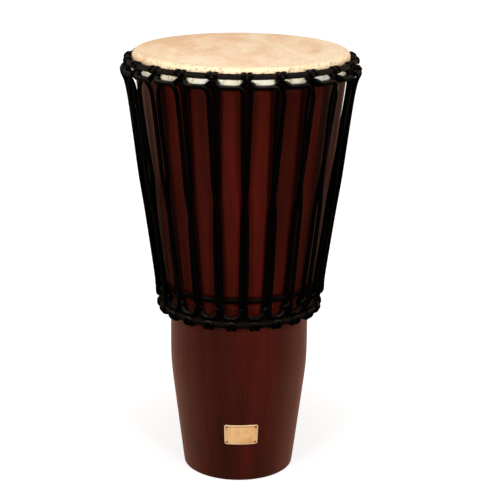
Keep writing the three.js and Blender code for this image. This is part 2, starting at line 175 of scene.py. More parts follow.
def soft_lamp(name, place, size, power, colour=(1, 1, 1)):
    """A square soft lamp that faces the middle of the drum."""
    data = bpy.data.lights.new(name, "AREA")
    data.size = size
    data.energy = power
    data.color = colour
    lamp = in_scene(name, data)
    lamp.location = place
    lamp.rotation_euler = (lamp_target - Vector(place)).to_track_quat("-Z", "Y").to_euler()


soft_lamp("left_lamp", (-1.36, -2.56, 1.1), size=0.6, power=44)
soft_lamp("right_lamp", (1.36, -2.56, 1.1), size=0.6, power=38)
soft_lamp("top_lamp", (0, -0.5, 2.7), size=1.2, power=48)
soft_lamp("left_strip", (-1.9, 1.1, 0.3), size=1.0, power=24, colour=strip_colour)
soft_lamp("right_strip", (1.9, 1.1, 0.3), size=1.0, power=26, colour=strip_colour)

camera_data = bpy.data.cameras.new("camera")
camera_data.sensor_width = sensor_width
camera_data.lens = focal_pixels / picture_pixels * sensor_width
forward = Vector((
    math.sin(camera_turn) * math.cos(camera_tilt),
    math.cos(camera_turn) * math.cos(camera_tilt),
    -math.sin(camera_tilt),
))
level = Vector((math.cos(camera_turn), -math.sin(camera_turn), 0))
upright = level.cross(forward)
right = level * math.cos(camera_roll) + upright * math.sin(camera_roll)
up = upright * math.cos(camera_roll) - level * math.sin(camera_roll)
camera_aim = Matrix((right, up, -forward)).transposed().to_4x4()
camera = in_scene("camera", camera_data)
camera.matrix_world = Matrix.Translation(camera_place) @ camera_aim
scene.camera = camera

# Shell: one hardwood body, turned outside and hollowed, stained a deep red-brown and lacquered. The
# conical foot runs into a straight waist, and the bowl flares to the rounded edge under the head.
# Painted shade darkens the lacquer and lowers its gloss behind the tie rope and behind each column
# of lacing.
drum_height = 0.6126
skin_radius = 0.1506
skin_thickness = 0.0012
skin_clearance = 0.0003
foot_radius = 0.0795
waist_radius = 0.0988
shell_wall = 0.012
foot_taper_top = 0.136
waist_bottom = 0.182
waist_top = 0.242
bowl_start = 0.262
bowl_flare = 0.0045
bowl_turn_height = 0.290
bowl_shoulder = (0.1162, 0.330)
foot_edge_round = 0.002
bearing_edge_round = 0.0065
bearing_flat = 0.0025
inner_bevel = 0.0045
turned_segments = 176
cone_steps = 16
bore_rings = 30
bore_step = 0.02
sharp_angle = math.radians(40)
same_place = 1e-7
hitch_count = 22
first_hitch = math.radians(2.8)
hitch_pitch = 2 * math.pi / hitch_count
# Bands of painted shade in the lacquer behind the lacing columns and the tie rope.
rope_shade_radius = 0.135
rope_shade_low = 0.2440
rope_shade_narrow = 0.455
rope_shade_top = 0.590
rope_shade_least = 0.0052
rope_shade_most = 0.0066
rope_shade_fade = 0.0036
rope_shade_depth = 0.7
tie_height = 0.283
tie_shade = (0.0085, 0.0055)
shine_heights = (0.245, 0.275)
bearing_radius = skin_radius - skin_thickness - skin_clearance
bearing_height = drum_height - skin_thickness - skin_clearance
round_radius = bearing_radius - bearing_edge_round
round_height = bearing_height - bearing_edge_round


def paint(red, green, blue):
    """A colour written as eight-bit screen values, as the linear colour a shader takes."""
    linear = []
    for value in (red, green, blue):
        share = value / 255
        linear.append(share / 12.92 if share <= 0.04045 else ((share + 0.055) / 1.055) ** 2.4)
    return (*linear, 1)


def arc(radius, height, size, start, end, steps):
    """Points of an arc in the profile plane, its angles in degrees from outward towards up."""
    points = []
    for step in range(steps + 1):
        angle = math.radians(start + (end - start) * step / steps)
        points.append((radius + size * math.cos(angle), height + size * math.sin(angle)))
    return points


def bend(start, control, end, steps):
    """Points of a curve that leaves start and reaches end along the lines through control."""
    points = []
    for step in range(steps + 1):
        far = step / steps
        near = 1 - far
        points.append(tuple(
            near * near * a + 2 * near * far * b + far * far * c for a, b, c in zip(start, control, end)
        ))
    return points


def turned(name, outline_at, segments):
    """A closed mesh of outlines round the axis. outline_at(angle) gives (radius, height) points."""
    mesh = bmesh.new()
    columns = []
    for step in range(segments):
        angle = 2 * math.pi * step / segments
        column = []
        for radius, height in outline_at(angle):
            place = (radius * math.sin(angle), -radius * math.cos(angle), height)
            column.append(mesh.verts.new(place))
        columns.append(column)
    count = len(columns[0])
    for here, onward in zip(columns, columns[1:] + columns[:1]):
        for low in range(count):
            high = (low + 1) % count
            mesh.faces.new((here[low], onward[low], onward[high], here[high]))
    bmesh.ops.remove_doubles(mesh, verts=mesh.verts, dist=same_place)
    bmesh.ops.recalc_face_normals(mesh, faces=mesh.faces)
    return finished(name, mesh)


def finished(name, mesh):
    """A mesh made an object of the scene, smooth but for its sharp edges."""
    data = bpy.data.meshes.new(name)
    mesh.to_mesh(data)
    mesh.free()
    data.shade_smooth()
    data.set_sharp_from_angle(angle=sharp_angle)
    return in_scene(name, data)


taper_share = foot_taper_top / ((foot_taper_top + waist_bottom) / 2)
taper_top_radius = foot_radius + (waist_radius - foot_radius) * taper_share
bowl_foot = (waist_radius + bowl_flare, bowl_start)
bowl_rim = (bearing_radius, round_height)
bowl_slope = (bowl_rim[0] - bowl_shoulder[0]) / (bowl_rim[1] - bowl_shoulder[1])
bowl_turn = (bowl_shoulder[0] - bowl_slope * (bowl_shoulder[1] - bowl_turn_height), bowl_turn_height)
bowl_middle = ((bowl_shoulder[0] + bowl_rim[0]) / 2, (bowl_shoulder[1] + bowl_rim[1]) / 2)
cone_shares = [step / cone_steps for step in range(1, cone_steps)]
foot_cone = [
    (foot_radius + (taper_top_radius - foot_radius) * share, foot_taper_top * share)
    for share in cone_shares
]
shell_outside = [
    *arc(foot_radius - foot_edge_round, foot_edge_round, foot_edge_round, -90, 0, steps=6),
    *foot_cone,
    *bend(
        (taper_top_radius, foot_taper_top),
        (waist_radius, (foot_taper_top + waist_bottom) / 2),
        (waist_radius, waist_bottom),
        steps=14,
    ),
    *bend((waist_radius, waist_top), (waist_radius, (waist_top + bowl_start) / 2), bowl_foot, steps=8),
    *bend(bowl_foot, bowl_turn, bowl_shoulder, steps=14)[1:],
    *bend(bowl_shoulder, bowl_middle, bowl_rim, steps=30)[1:],
    *arc(round_radius, round_height, bearing_edge_round, 0, 90, steps=10)[1:],
]


def shell_radius_at(height):
    """The shell's outer radius at a height."""
    for below, above in zip(shell_outside, shell_outside[1:]):
        if below[1] <= height <= above[1] and above[1] > below[1]:
            share = (height - below[1]) / (above[1] - below[1])
            return below[0] + (above[0] - below[0]) * share
    return bearing_radius


bore_top = bearing_height - inner_bevel
bore_heights = [bore_top - step * bore_step for step in range(bore_rings)] + [0]
shell_bore = [
    (shell_radius_at(max(height, foot_edge_round)) - shell_wall, height) for height in bore_heights
]
shell_profile = [*shell_outside, (round_radius - bearing_flat, bearing_height), *shell_bore]
shell = turned("lacquered_shell", lambda angle: shell_profile, turned_segments)

bare_wood = shell.data.attributes.new("bare_wood", "FLOAT", "POINT")
for vertex in shell.data.vertices:
    reach = math.hypot(vertex.co.x, vertex.co.y)
    bare_wood.data[vertex.index].value = float(reach < shell_radius_at(vertex.co.z) - shell_wall / 2)


def new_finish(name):
    """A new material: itself, its node tree and its shader."""
    material = bpy.data.materials.new(name)
    material.use_nodes = True
    return material, material.node_tree, material.node_tree.nodes["Principled BSDF"]


def stretched(tree, scale=(1, 1, 1)):
    """Object coordinates, drawn out by a scale along each axis."""
    place = add_node(tree, "ShaderNodeTexCoord").outputs["Object"]
    return add_node(tree, "ShaderNodeMapping", {"Vector": place, "Scale": scale}).outputs[0]


def grain(vector, scale, detail=4.0, roughness=0.55):
    """A noise value from 0 to 1."""
    values = {"Vector": vector, "Scale": scale, "Detail": detail, "Roughness": roughness}
    return add_node(vector.id_data, "ShaderNodeTexNoise", values).outputs["Fac"]


def shades(value, stops):
    """A colour ramp from (position, colour) stops."""
    ramp = add_node(value.id_data, "ShaderNodeValToRGB", {"Fac": value})
    marks = ramp.color_ramp.elements
    while len(marks) < len(stops):
        marks.new(1.0)
    for mark, (position, colour) in zip(marks, stops):
        mark.position = position
        mark.color = colour
    return ramp.outputs["Color"]


def parts(vector):
    """The X, Y and Z of a vector."""
    return add_node(vector.id_data, "ShaderNodeSeparateXYZ", {"Vector": vector}).outputs


def point_value(tree, name):
    """A value that is kept on the mesh under a name."""
    return add_node(tree, "ShaderNodeAttribute", attribute_name=name).outputs["Fac"]


def relief(shader, height, distance, strength=1.0):
    """Small surface relief from a height value, in metres."""
    values = {"Height": height, "Distance": distance, "Strength": strength}
    give(shader, {"Normal": add_node(height.id_data, "ShaderNodeBump", values).outputs[0]})


lacquer, tree, shader = new_finish("lacquered_wood")
long_grain = stretched(tree, (1, 1, 0.045))
streaks = grain(long_grain, 26, 3.0)
figure = grain(long_grain, 90, 5.0, 0.62)
pores = grain(stretched(tree, (1, 1, 0.03)), 520, 2.0)
blotches = grain(stretched(tree, (1, 1, 0.35)), 11, 2.0)
stain = shades(streaks, [
    (0.30, paint(56, 14, 9)),
    (0.47, paint(64, 16, 10)),
    (0.60, paint(72, 17, 10)),
    (0.74, paint(82, 19, 11)),
])
fine = shades(figure, [(0.34, (0.84, 0.82, 0.80, 1)), (0.62, (1.06, 1.05, 1.04, 1))])
stain = mixed(1.0, stain, fine, "MULTIPLY")
patch = shades(blotches, [(0.35, (0.8, 0.8, 0.8, 1)), (0.65, (1.1, 1.1, 1.1, 1))])
stain = mixed(1.0, stain, patch, "MULTIPLY")
pore_lines = between(pores, 0.36, 0.28)
stain = mixed(times(pore_lines, 0.3), stain, paint(22, 8, 6))
wood_parts = parts(stretched(tree))
# Painted shade: a dark band behind each lacing column and one behind the tie rope, where the ropes would
# shade the lacquer; the lacquer is also less glossy in them.
wood_turn = work("ARCTAN2", wood_parts["X"], times(wood_parts["Y"], -1.0))
column_turn = work("DIVIDE", work("SUBTRACT", wood_turn, first_hitch), hitch_pitch)
off_column = work("ABSOLUTE", work("SUBTRACT", column_turn, work("ROUND", column_turn)))
off_rope = times(off_column, hitch_pitch * rope_shade_radius)
column_shade_half = between(wood_parts["Z"], rope_shade_narrow, rope_shade_top, rope_shade_least, rope_shade_most)
column_shade_share = between(work("SUBTRACT", off_rope, column_shade_half), 0.0, rope_shade_fade, 1.0, 0.0)
rope_shaded_wood = times(column_shade_share, between(wood_parts["Z"], rope_shade_low, rope_shade_low + rope_shade_fade))
off_tie = work("ABSOLUTE", work("SUBTRACT", wood_parts["Z"], tie_height))
rope_shaded_wood = work("MAXIMUM", rope_shaded_wood, between(off_tie, *tie_shade))
stain = mixed(times(rope_shaded_wood, rope_shade_depth), stain, paint(12, 5, 4))
foot_shade = between(wood_parts["Z"], 0.0, 0.24, 0.74, 0.94)
stain = mixed(1.0, stain, foot_shade, "MULTIPLY")
bare = point_value(tree, "bare_wood")
raw = shades(figure, [(0.3, paint(96, 58, 36)), (0.7, paint(138, 92, 60))])
foot_shine = between(wood_parts["Z"], *shine_heights, 0.5, 0.2)
give(shader, {
    "Base Color": mixed(bare, stain, raw),
    "Roughness": work("ADD", between(figure, 0.3, 0.7, 0.24, 0.34), times(bare, 0.4)),
    "IOR": 1.22,
    "Specular IOR Level": times(foot_shine, between(rope_shaded_wood, 0.0, 1.0, 1.0, 0.2)),
    "Specular Tint": (1, 0.66, 0.52, 1),
    "Sheen Weight": between(wood_parts["Z"], *shine_heights, 0.5, 0.06),
    "Sheen Roughness": 0.42,
    "Sheen Tint": (1, 0.42, 0.24, 1),
})
relief(shader, work("SUBTRACT", figure, times(pore_lines, 0.6)), 0.00012, 0.5)
shell.data.materials.append(lacquer)
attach(shell, "drum_body")
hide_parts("shell")

# Name plate: a thin copper-coloured sheet bent round the front of the foot, brushed along its length
# and left bare, its edges lighter in colour and a band of painted shade just inside them, strongest
# under the top edge. It lies on the lacquer.
plate_width = 0.0478
plate_height = 0.0308
plate_thickness = 0.0009
plate_corner = 0.003
plate_gap = 0.00005
plate_centre = 0.0752
plate_angle = math.radians(2.7)
plate_edge_round = 0.00035
plate_rows = 24
plate_columns = 40
bright_edge = (0.0016, 0.0006)
rim_shade_outside = (0.0012, 0.0022)
rim_shade_inside = (0.0042, 0.0028)
rim_shade_rise = (0.004, 0.011)
foot_slope = math.atan2(taper_top_radius - foot_radius, foot_taper_top - foot_edge_round)


def on_drum(angle, radius, height):
    """A point from its angle round the drum, its radius and its height."""
    return Vector((radius * math.sin(angle), -radius * math.cos(angle), height))


def on_plate(across, rise, lift):
    """A point of the plate, lift metres off the lacquer, by its place from the plate's middle."""
    height = plate_centre + rise
    radius = shell_radius_at(height) + lift / math.cos(foot_slope)
    return on_drum(plate_angle + across / shell_radius_at(plate_centre), radius, height)


def plate_sheet(mesh, inset, lift):
    """One layer of the plate as rows of vertices, drawn in from its outline by inset."""
    rows = []
    for row in range(plate_rows + 1):
        rise = (plate_height / 2 - inset) * math.sin(math.pi * (row / plate_rows - 0.5))
        past_corner = max(0, abs(rise) - (plate_height / 2 - plate_corner))
        drawn_in = plate_corner - math.sqrt(max(0, plate_corner ** 2 - past_corner ** 2))
        half = plate_width / 2 - inset - drawn_in
        places = [half * (2 * column / plate_columns - 1) for column in range(plate_columns + 1)]
        rows.append([mesh.verts.new(on_plate(across, rise, lift)) for across in places])
    return rows


def sheet_rim(rows):
    """The vertices round the outside of a layer, in order."""
    right_side = [row[-1] for row in rows[1:-1]]
    left_side = [row[0] for row in reversed(rows[1:-1])]
    return [*rows[0], *right_side, *reversed(rows[-1]), *left_side]


plate_mesh = bmesh.new()
plate_back = plate_sheet(plate_mesh, 0, plate_gap)
plate_front = plate_sheet(plate_mesh, plate_edge_round, plate_gap + plate_thickness)
for rows in (plate_back, plate_front):
    for lower, upper in zip(rows, rows[1:]):
        for column in range(plate_columns):
            plate_mesh.faces.new((lower[column], lower[column + 1], upper[column + 1], upper[column]))
shoulder = plate_sheet(plate_mesh, 0, plate_gap + plate_thickness - plate_edge_round)
shoulder_rim = sheet_rim(shoulder)
side_layers = [sheet_rim(plate_back), shoulder_rim, sheet_rim(plate_front)]
for lower, upper in zip(side_layers, side_layers[1:]):
    for here in range(len(lower)):
        onward = (here + 1) % len(lower)
        plate_mesh.faces.new((lower[here], lower[onward], upper[onward], upper[here]))
kept = set(shoulder_rim)
spare = [vertex for row in shoulder for vertex in row if vertex not in kept]
bmesh.ops.delete(plate_mesh, geom=spare, context="VERTS")
bmesh.ops.recalc_face_normals(plate_mesh, faces=plate_mesh.faces)
plate = finished("bare_name_plate", plate_mesh)
from_edge = plate.data.attributes.new("from_edge", "FLOAT", "POINT")
for vertex in plate.data.vertices:
    turn = math.atan2(vertex.co.x, -vertex.co.y) - plate_angle
    side_gap = plate_width / 2 - abs(turn) * shell_radius_at(plate_centre)
    end_gap = plate_height / 2 - abs(vertex.co.z - plate_centre)
    from_edge.data[vertex.index].value = min(side_gap, end_gap)

copper, tree, shader = new_finish("brushed_copper")
brushing = grain(stretched(tree, (40, 40, 2600)), 1.0, 3.0)
tarnish = grain(stretched(tree), 70, 4.0)
edge_gap = point_value(tree, "from_edge")
metal = shades(tarnish, [
    (0.32, paint(232, 158, 90)),
    (0.50, paint(254, 192, 124)),
    (0.68, paint(255, 212, 150)),
])
metal = mixed(between(brushing, 0.35, 0.65, 0.0, 0.35), metal, paint(254, 206, 150))
# Painted shade: a dull band just inside the plate's edges, strongest under the top edge.
rim_shade = times(between(edge_gap, *rim_shade_outside), between(edge_gap, *rim_shade_inside))
plate_rise = work("SUBTRACT", parts(stretched(tree))["Z"], plate_centre)
rim_shade = times(rim_shade, between(plate_rise, *rim_shade_rise, 0.12, 0.55))
metal = mixed(rim_shade, metal, paint(176, 112, 60))
metal = mixed(between(edge_gap, *bright_edge, 0.0, 0.85), metal, paint(255, 226, 184))
give(shader, {
    "Base Color": metal,
    "Metallic": 0.3,
    "Roughness": between(brushing, 0.3, 0.7, 0.30, 0.44),
})
relief(shader, brushing, 0.00004, 0.6)
plate.data.materials.append(copper)
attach(plate, "drum_body")
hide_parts("name_plate")

# Plate pins: four dome-headed escutcheon pins, one in each corner of the plate, driven through it
# into the foot. Each head sits on the sheet, square to the foot, and has gone dark with age.
pin_inset = 0.0034
pin_head_radius = 0.0016
pin_head_height = 0.0008
pin_shank_radius = 0.0008
pin_shank_length = 0.005
pin_round_steps = 20
pin_dome_step = 15


def new_tree(name, inputs):
    """A geometry tree with its named inputs, and the nodes at its two ends."""
    tree = bpy.data.node_groups.new(name, "GeometryNodeTree")
    tree.interface.new_socket("Geometry", in_out="INPUT", socket_type="NodeSocketGeometry")
    for label, kind in inputs.items():
        tree.interface.new_socket(label, in_out="INPUT", socket_type="NodeSocket" + kind)
    tree.interface.new_socket("Geometry", in_out="OUTPUT", socket_type="NodeSocketGeometry")
    given = tree.nodes.new("NodeGroupInput").outputs
    return tree, given, tree.nodes.new("NodeGroupOutput")


def close_tree(geometry, finish, end):
    """Ends a geometry tree: real meshes for its instances, smooth, in one finish."""
    tree = geometry.id_data
    real = add_node(tree, "GeometryNodeRealizeInstances", {0: geometry})
    smooth = add_node(tree, "GeometryNodeSetShadeSmooth", {0: real.outputs[0]})
    coated = add_node(tree, "GeometryNodeSetMaterial", {0: smooth.outputs[0], "Material": finish})
    give(end, {0: coated.outputs[0]})


def named(tree, name, data_type="FLOAT"):
    """A value that was stored on the geometry under a name."""
    values = {"Name": name}
    return add_node(tree, "GeometryNodeInputNamedAttribute", values, data_type=data_type).outputs[0]


def grown(name, carrier, tree, values):
    """The plain mesh that a geometry tree grows on a carrier object, which it then takes away."""
    modifier = carrier.modifiers.new(tree.name, "NODES")
    modifier.node_group = tree
    for item in tree.interface.items_tree:
        if item.in_out == "INPUT" and item.name in values:
            modifier[item.identifier] = values[item.name]
    grown_on = carrier.evaluated_get(bpy.context.evaluated_depsgraph_get())
    data = bpy.data.meshes.new_from_object(grown_on)
    data.name = name
    bpy.data.objects.remove(carrier)
    return in_scene(name, data)


pin_dome = [
    (pin_head_radius * math.cos(math.radians(angle)), pin_head_height * math.sin(math.radians(angle)))
    for angle in range(0, 90, pin_dome_step)
]
pin_profile = [
    (0, -pin_shank_length),
    (pin_shank_radius, -pin_shank_length),
    (pin_shank_radius, 0),
    *pin_dome,
    (0, pin_head_height),
]
one_pin = turned("one_pin", lambda angle: pin_profile, pin_round_steps)
pin_seats = []
pin_axes = []
for side in (-1, 1):
    for end in (-1, 1):
        across = side * (plate_width / 2 - pin_inset)
        rise = end * (plate_height / 2 - pin_inset)
        pin_seats.append(on_plate(across, rise, plate_gap + plate_thickness))
        turn = plate_angle + across / shell_radius_at(plate_centre)
        pin_axes.append(on_drum(turn, math.cos(foot_slope), -math.sin(foot_slope)))
seat_mesh = bpy.data.meshes.new("pin_seats")
seat_mesh.from_pydata(pin_seats, [], [])
seat_axes = seat_mesh.attributes.new("pin_axis", "FLOAT_VECTOR", "POINT")
for entry, axis in zip(seat_axes.data, pin_axes):
    entry.vector = axis

pin_tree, given, end = new_tree("pins_on_seats", {"Pin": "Object", "Finish": "Material"})
pin_source = add_node(pin_tree, "GeometryNodeObjectInfo", {"Object": given["Pin"]})
pin_axis = named(pin_tree, "pin_axis", "FLOAT_VECTOR")
pin_turn = add_node(pin_tree, "FunctionNodeAlignRotationToVector", {"Vector": pin_axis}, axis="Z")
pins_set = add_node(pin_tree, "GeometryNodeInstanceOnPoints", {
    "Points": given["Geometry"],
    "Instance": pin_source.outputs["Geometry"],
    "Rotation": pin_turn.outputs[0],
})
close_tree(pins_set.outputs[0], given["Finish"], end)

aged, tree, shader = new_finish("aged_copper")
pin_tarnish = grain(stretched(tree), 900, 3.0)
pin_tone = shades(pin_tarnish, [(0.38, paint(72, 44, 22)), (0.62, paint(150, 98, 54))])
give(shader, {
    "Base Color": pin_tone,
    "Metallic": 0.5,
    "Roughness": between(pin_tarnish, 0.3, 0.7, 0.3, 0.5),
})
relief(shader, pin_tarnish, 0.00003, 0.5)
pin_values = {"Pin": one_pin, "Finish": aged}
plate_pins = grown("plate_pins", in_scene("pin_seats", seat_mesh), pin_tree, pin_values)
bpy.data.objects.remove(one_pin)
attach(plate_pins, "drum_body")
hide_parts("plate_pin_1", "plate_pin_2", "plate_pin_3", "plate_pin_4")

# Head skin: a shaved hide, put on wet over the bearing edge, drawn down outside the shell and folded
# up round the flesh ring. Its collar shows as pale windows under the crown ring, with painted shade,
# nearly black, at each hitch. The hide's tone is painted darker towards the back and the left as
# painted shade. The crown sits lower at the back than at the front, and the collar goes down with it.
flesh_rod_radius = 0.0016
flesh_clearance = 0.0002
flesh_radius = 0.1508
flesh_height = 0.59277
fold_tail_low = 0.0016
fold_tail_rise = 0.0030
fold_tail_round = (0.0004, 0.0003)
tail_waves = ((0.0005, 31), (0.0003, 90))
skin_swell = 0.00016
swell_scale = 24
swell_fade = 0.25
skin_pucker = 0.00035
pucker_scale = 14
pucker_at_hitches = 0.8
fold_bore = flesh_rod_radius + flesh_clearance
fold_radius = fold_bore + skin_thickness
skin_rings = 34
collar_rings = 7
skin_segments = 352
hide_shade_drift = (0.6, -0.9)
rim_reach = (0.122, 0.147)
rim_depth = (0.06, -0.06)
crown_tilt = 0.0062
tilt_start = 0.6045
tilt_full = 0.5975
hitch_shade_near = 0.0045
hitch_shade_far = 0.0085
hitch_shade_top = 0.5975


def skin_outline(angle):
    """The skin's outline at an angle: over its top and collar, round the fold and back inside."""
    between_hitches = 0.5 - 0.5 * math.cos(hitch_count * (angle - first_hitch))
    spot = on_drum(angle, 1, 0)
    pucker = skin_pucker * noise.noise(spot * pucker_scale)
    pucker += skin_pucker * pucker_at_hitches * (between_hitches - 0.5)
    ragged = sum(depth * noise.noise(spot * scale) for depth, scale in tail_waves)
    tail = flesh_height + fold_tail_low + fold_tail_rise * between_hitches + ragged
    points = []
    for ring in range(skin_rings):
        radius = round_radius * ring / skin_rings
        reach = radius * swell_scale
        swell = skin_swell * noise.noise(Vector((spot.x * reach, spot.y * reach, 2)))
        points.append((radius, drum_height + swell * min(1, (1 - ring / skin_rings) / swell_fade)))
    over_edge = bearing_edge_round + skin_clearance + skin_thickness
    points += arc(round_radius, round_height, over_edge, 90, 0, steps=12)
    collar_top = points[-1][1]
    collar_low = flesh_height + fold_bore / 2
    for step in range(1, collar_rings):
        share = step / collar_rings
        pull = pucker * math.sin(math.pi * share)
        points.append((skin_radius + min(0, pull), collar_top + (collar_low - collar_top) * share))
    points += arc(flesh_radius, flesh_height, fold_bore, -180, 0, steps=16)
    inner = flesh_radius + fold_bore
    outer = flesh_radius + fold_radius
    points.append((inner, tail - fold_tail_round[0]))
    points.append((inner + fold_tail_round[0], tail))
    points.append((outer - fold_tail_round[1], tail))
    points.append((outer, tail - fold_tail_round[0]))
    points += arc(flesh_radius, flesh_height, fold_radius, 0, -180, steps=18)
    points += arc(round_radius, round_height, over_edge - skin_thickness, 0, 90, steps=10)
    for ring in range(skin_rings - 1, -1, -1):
        points.append((round_radius * ring / skin_rings, drum_height - skin_thickness))
    return points


def tilted(piece, start=0.0, full=0.5):
    """Sinks a piece towards the back, from nothing at the height start to all at the height full."""
    for vertex in piece.data.vertices:
        reach = max(same_place, math.hypot(vertex.co.x, vertex.co.y))
        backward = 0.5 + 0.5 * vertex.co.y / reach
        share = min(1, max(0, (vertex.co.z - start) / (full - start)))
        vertex.co.z -= crown_tilt * backward * share


head = turned("hide_head", skin_outline, skin_segments)
# Painted shade at each hitch: a share on the collar near the hitch, which the hide's finish turns nearly
# black.
hitch_shade = head.data.attributes.new("hitch_shade", "FLOAT", "POINT")
for vertex in head.data.vertices:
    turn = math.atan2(vertex.co.x, -vertex.co.y) - first_hitch
    off_hitch = abs(turn - hitch_pitch * round(turn / hitch_pitch)) * skin_radius
    near_hitch = min(1, max(0, (hitch_shade_far - off_hitch) / (hitch_shade_far - hitch_shade_near)))
    hitch_shade.data[vertex.index].value = near_hitch * (vertex.co.z < hitch_shade_top)
tilted(head, tilt_start, tilt_full)

hide, tree, shader = new_finish("shaved_hide")
spots = stretched(tree)
skin_parts = parts(spots)
side_square = times(skin_parts["X"], skin_parts["X"])
reach = work("SQRT", work("MULTIPLY_ADD", skin_parts["Y"], skin_parts["Y"], side_square))
mottle = grain(stretched(tree, (1, 0.45, 1)), 22, 4.0)
veins = grain(stretched(tree, (1, 0.35, 1)), 60, 5.0, 0.65)
flecks = grain(spots, 330, 2.0)
# Painted shade: the hide's tone is drawn darker towards the back and towards the left.
side_shade_drift = work("MULTIPLY_ADD", skin_parts["X"], hide_shade_drift[0], mottle)
shade_drift = work("MULTIPLY_ADD", skin_parts["Y"], hide_shade_drift[1], side_shade_drift)
skin_tone = shades(shade_drift, [
    (0.32, paint(226, 186, 148)),
    (0.50, paint(238, 209, 175)),
    (0.66, paint(243, 220, 190)),
])
skin_tone = mixed(between(veins, 0.44, 0.66, 0.0, 0.45), skin_tone, paint(222, 176, 132))
rim_front = between(skin_parts["Y"], *rim_depth, 0.1, 1.0)
rim_share = times(between(reach, *rim_reach), rim_front)
rim_tone = shades(veins, [(0.36, paint(224, 194, 150)), (0.58, paint(242, 218, 180))])
skin_tone = mixed(times(rim_share, 0.75), skin_tone, rim_tone)
hairs = add_node(tree, "ShaderNodeTexVoronoi", {"Vector": spots, "Scale": 210.0}).outputs["Distance"]
hair_dots = between(hairs, 0.42, 0.18)
some_hairs = between(grain(spots, 60, 2.0), 0.42, 0.52)
hair_share = times(times(hair_dots, some_hairs), rim_share)
skin_tone = mixed(times(hair_share, 0.6), skin_tone, paint(112, 74, 44))
skin_tone = mixed(between(flecks, 0.66, 0.74, 0.0, 0.25), skin_tone, paint(205, 158, 112))
fold_share = between(skin_parts["Z"], tilt_start, tilt_full)
fold_tone = shades(grain(stretched(tree, (1, 1, 0.5)), 85, 4.0), [
    (0.34, paint(196, 166, 124)),
    (0.45, paint(252, 240, 214)),
    (0.62, paint(255, 253, 240)),
])
skin_tone = mixed(fold_share, skin_tone, fold_tone)
# Painted shade at the hitches, nearly black.
hitch_shaded = times(point_value(tree, "hitch_shade"), 0.95)
give(shader, {
    "Base Color": mixed(hitch_shaded, skin_tone, paint(30, 20, 14)),
    "Roughness": between(veins, 0.3, 0.7, 0.52, 0.70),
    "Specular IOR Level": 0.1,
    "Subsurface Weight": 0.08,
    "Subsurface Radius": (0.002, 0.001, 0.0005),
})
relief(shader, work("ADD", veins, times(flecks, 0.5)), 0.00015, 0.45)
head.data.materials.append(hide)
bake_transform(head)
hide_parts("head_skin")

# Steel rods: the flesh ring in the fold of the skin and the cores of the two pull rings, bent from
# plain rod and welded, with a mill finish and a little rust. All are hidden. The two of the crown sit
# lower at the back, as the crown does, and the core of the bottom ring is its solid.
crown_ring_radius = 0.1572
crown_ring_height = 0.6028
crown_core_radius = 0.0015
rod_sides = 12
steel, tree, shader = new_finish("mill_steel")
scale_marks = grain(stretched(tree), 160, 5.0)
rod_tone = shades(scale_marks, [
    (0.36, paint(92, 88, 84)),
    (0.55, paint(142, 142, 144)),
    (0.72, paint(132, 104, 84)),
])
give(shader, {
    "Base Color": rod_tone,
    "Metallic": 1.0,
    "Roughness": between(scale_marks, 0.3, 0.7, 0.32, 0.55),
})
relief(shader, scale_marks, 0.00005, 0.5)
bottom_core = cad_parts["bottom_ring"].data
bottom_core.materials.clear()
bottom_core.materials.append(steel)


def crown_rod(name, node, radius, height, rod_radius):
    """A steel ring of the crown."""
    last_side = 360 - 360 / rod_sides
    section = arc(radius, height, rod_radius, 0, last_side, rod_sides - 1)
    rod = turned(name, lambda angle: section, turned_segments)
    rod.data.materials.append(steel)
    tilted(rod)
    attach(rod, "crown")
    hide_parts(node)


crown_rod("flesh_rod", "flesh_ring", flesh_radius, flesh_height, flesh_rod_radius)
crown_rod("crown_core", "crown_ring", crown_ring_radius, crown_ring_height, crown_core_radius)

# Ring wraps: a long strip of dark cotton wound round each steel ring in lapped turns, which keeps the
# rope from rubbing. Each lap makes a low slanting step along the ring. The bottom one is thicker, and
# its underside is darker and less glossy as painted shade.
crown_wrap_radius = 0.0039
bottom_ring_radius = 0.1095
bottom_ring_height = 0.2480
bottom_wrap_radius = 0.0048
wrap_lap_width = 0.0105
wrap_lap_depth = 0.0004
wrap_steps_per_turn = 9
wrap_sides = 18
crumple_scale = 240.0
crumple_share = 0.8
lap_middle = 0.7
lap_edge_share = 0.16
warp_threads = 13
weft_threads = 22
weft_lean = 2
underside_shade_heights = (bottom_ring_height - 0.0005, bottom_ring_height + 0.0035)
seam_share = 0.0005
far_share = 0.3


def joined_share(tree, name):
    """A stored share from 0 to 1 round a loop, with its last face closed at 1 instead of 0."""
    share = named(tree, name)
    face_mean = add_node(tree, "GeometryNodeFieldOnDomain", {0: share}, domain="FACE").outputs[0]
    at_seam = work("LESS_THAN", share, seam_share)
    far_face = work("GREATER_THAN", face_mean, far_share)
    return work("ADD", share, times(at_seam, far_face))


def stored(geometry, name, value, data_type="FLOAT", domain="POINT"):
    """A geometry with a value kept on it under a name."""
    values = {"Geometry": geometry, "Name": name, "Value": value}
    return add_node(
        geometry.id_data, "GeometryNodeStoreNamedAttribute", values, data_type=data_type, domain=domain
    ).outputs[0]


def round_line(tree, radius, steps, name):
    """A circle that keeps the share of its length at each of its points under a name."""
    values = {"Radius": radius, "Resolution": steps}
    circle = add_node(tree, "GeometryNodeCurvePrimitiveCircle", values).outputs[0]
    return stored(circle, name, add_node(tree, "GeometryNodeSplineParameter").outputs["Factor"])


def pushed_out(geometry, distance):
    """A mesh with each point pushed out along its normal."""
    tree = geometry.id_data
    normal = add_node(tree, "GeometryNodeInputNormal").outputs[0]
    push = add_node(tree, "ShaderNodeVectorMath", {0: normal, "Scale": distance}, operation="SCALE")
    moved = add_node(tree, "GeometryNodeSetPosition", {"Geometry": geometry, "Offset": push.outputs[0]})
    return moved.outputs[0]


